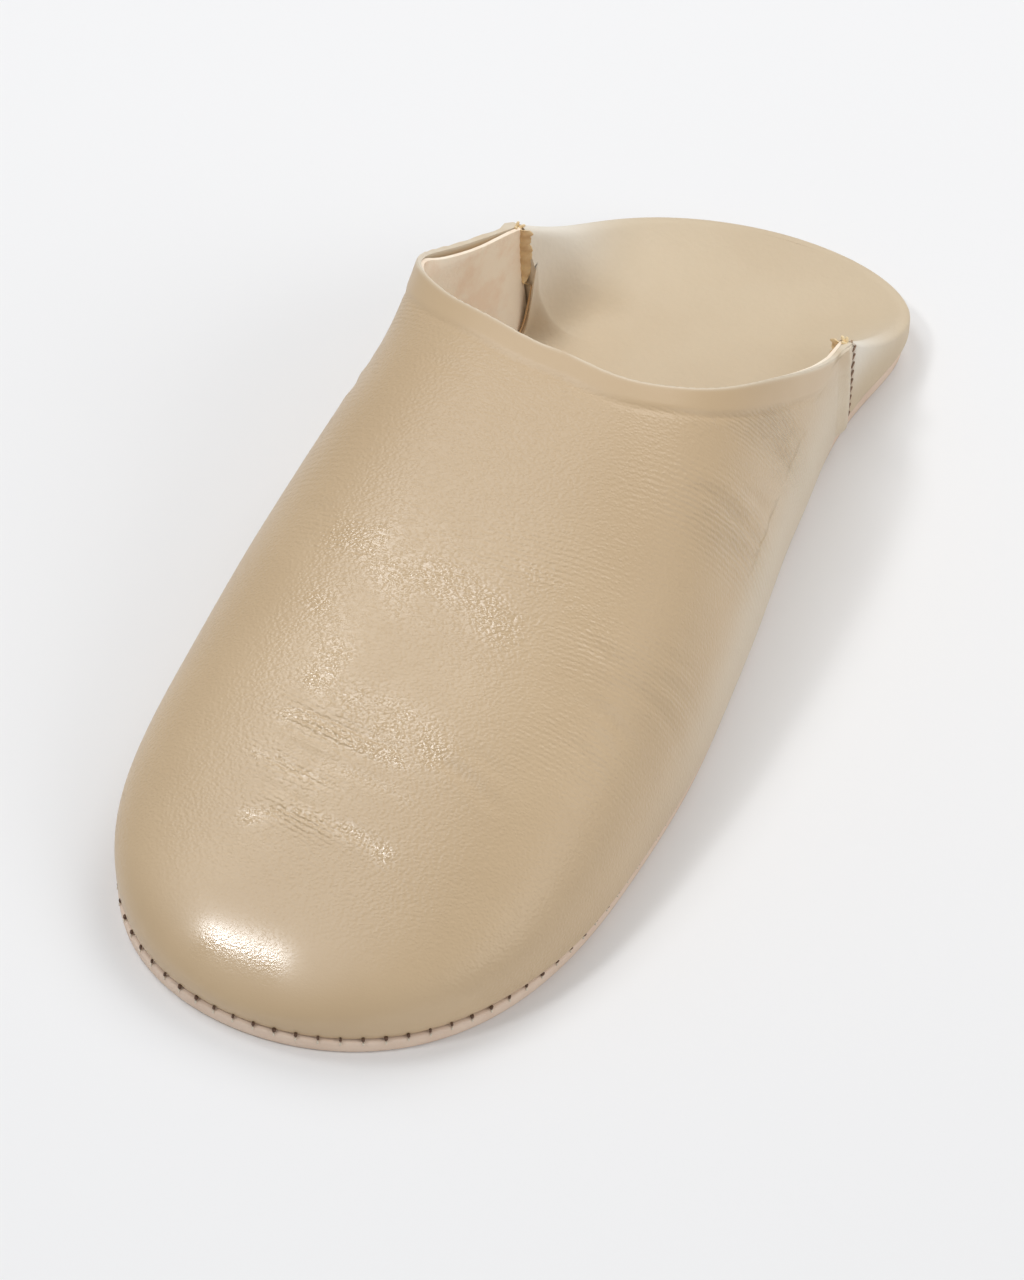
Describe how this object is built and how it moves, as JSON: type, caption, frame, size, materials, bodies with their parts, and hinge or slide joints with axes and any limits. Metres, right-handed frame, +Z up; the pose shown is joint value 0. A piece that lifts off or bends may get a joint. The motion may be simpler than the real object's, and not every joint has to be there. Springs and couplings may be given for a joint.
{
  "type": "babouche slipper",
  "caption": "Backless leather babouche slipper with a round toe, high throat, flat leather sole and a back quarter trodden flat into the heel seat.",
  "frame": {"origin": "on the floor, below the centre of the slipper's bounding box", "axes": "+Z up from the sole, +Y along the slipper from toe to heel, +X towards the side taken as the outer one"},
  "size_m": [0.1083, 0.27, 0.0635],
  "materials": {
    "sole_leather": "natural vegetable-tanned, matt",
    "upper_leather": "sand beige, semi-gloss, fine grain",
    "quarter_leather": "sand beige, smooth, low sheen",
    "insole_leather": "natural, matt"
  },
  "bodies": {
    "root": {"outsole": "sole_leather", "upper": "upper_leather", "heel_quarter": "quarter_leather", "insole": "insole_leather"}
  },
  "joints": []
}
